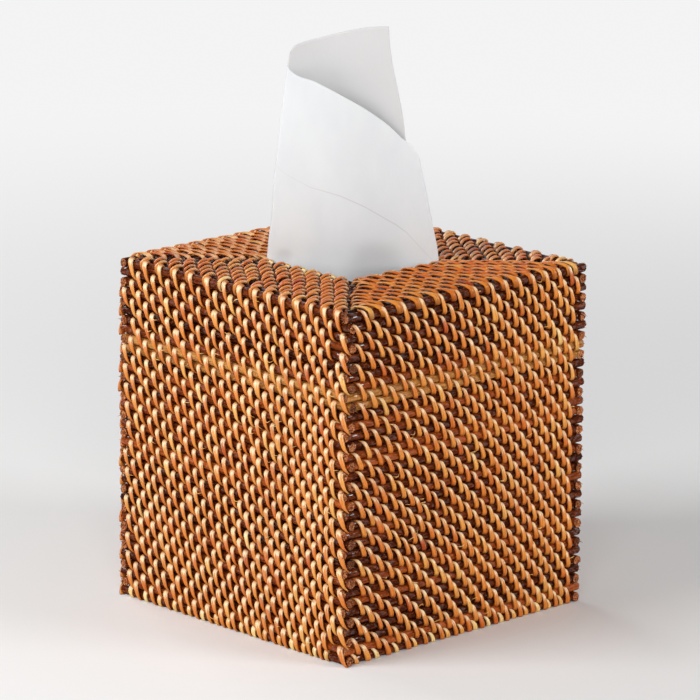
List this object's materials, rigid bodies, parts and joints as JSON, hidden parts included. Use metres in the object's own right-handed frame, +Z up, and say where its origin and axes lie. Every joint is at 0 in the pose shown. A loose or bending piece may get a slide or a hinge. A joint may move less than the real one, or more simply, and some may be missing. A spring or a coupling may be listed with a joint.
{
  "type": "tissue box cover",
  "caption": "Square tissue box cover of stacked round canes bound with peel, open below and at the middle of its top, over a carton with a folded tissue standing out.",
  "frame": {"origin": "middle of the underside, on the surface that the carton and the cover stand on", "axes": "+Z up through the opening in the top, +X and +Y square to two neighbouring walls; the picture is taken from about halfway between -X and -Y"},
  "size_m": [0.1394, 0.1394, 0.2481],
  "materials": {
    "dark_cane": "stained and lacquered round cane, nearly black to dark brown",
    "brown_cane": "stained and lacquered round cane, red brown",
    "pale_cane": "lacquered round cane, unstained",
    "peel_binding": "glossy split cane peel, golden tan",
    "carton_board": "plain printed carton board",
    "clear_film": "thin clear film",
    "tissue_paper": "soft white tissue, matt"
  },
  "bodies": {
    "carton": {"carton_sleeve": "carton_board", "carton_base": "carton_board", "carton_top": "carton_board", "mouth_film": "clear_film", "tissue_pile": "tissue_paper"},
    "cover": {"wall_course_01": "dark_cane", "wall_course_02": "brown_cane", "wall_course_03": "dark_cane", "wall_course_04": "dark_cane", "wall_course_05": "dark_cane", "wall_course_06": "dark_cane", "wall_course_07": "brown_cane", "wall_course_08": "dark_cane", "wall_course_09": "brown_cane", "wall_course_10": "dark_cane", "wall_course_11": "dark_cane", "wall_course_12": "dark_cane", "wall_course_13": "dark_cane", "wall_course_14": "dark_cane", "wall_course_15": "dark_cane", "wall_course_16": "dark_cane", "wall_course_17": "brown_cane", "wall_course_18": "dark_cane", "wall_course_19": "dark_cane", "wall_course_20": "dark_cane", "wall_course_21": "brown_cane", "wall_course_22": "brown_cane", "wall_course_23": "dark_cane", "wall_course_24": "dark_cane", "wall_course_25": "brown_cane", "wall_course_26": "dark_cane", "wall_course_27": "pale_cane", "wall_course_28": "pale_cane", "wall_course_29": "brown_cane", "wall_course_30": "dark_cane", "wall_course_31": "dark_cane", "wall_course_32": "dark_cane", "wall_course_33": "dark_cane", "wall_course_34": "dark_cane", "wall_course_35": "dark_cane", "wall_course_36": "dark_cane", "top_ring_01": "dark_cane", "top_ring_02": "dark_cane", "top_ring_03": "dark_cane", "top_ring_04": "dark_cane", "top_ring_05": "dark_cane", "top_ring_06": "dark_cane", "top_ring_07": "dark_cane", "top_ring_08": "dark_cane", "top_ring_09": "dark_cane", "top_ring_10": "dark_cane"},
    "tissue": {"tissue": "tissue_paper"}
  },
  "joints": [
    {"name": "cover_lift", "type": "slide", "parent": "carton", "child": "cover", "axis": [0, 0, 1], "range_m": [0, 0.26]},
    {"name": "tissue_pull", "type": "slide", "parent": "carton", "child": "tissue", "axis": [0, 0, 1], "range_m": [0, 0.1]}
  ]
}
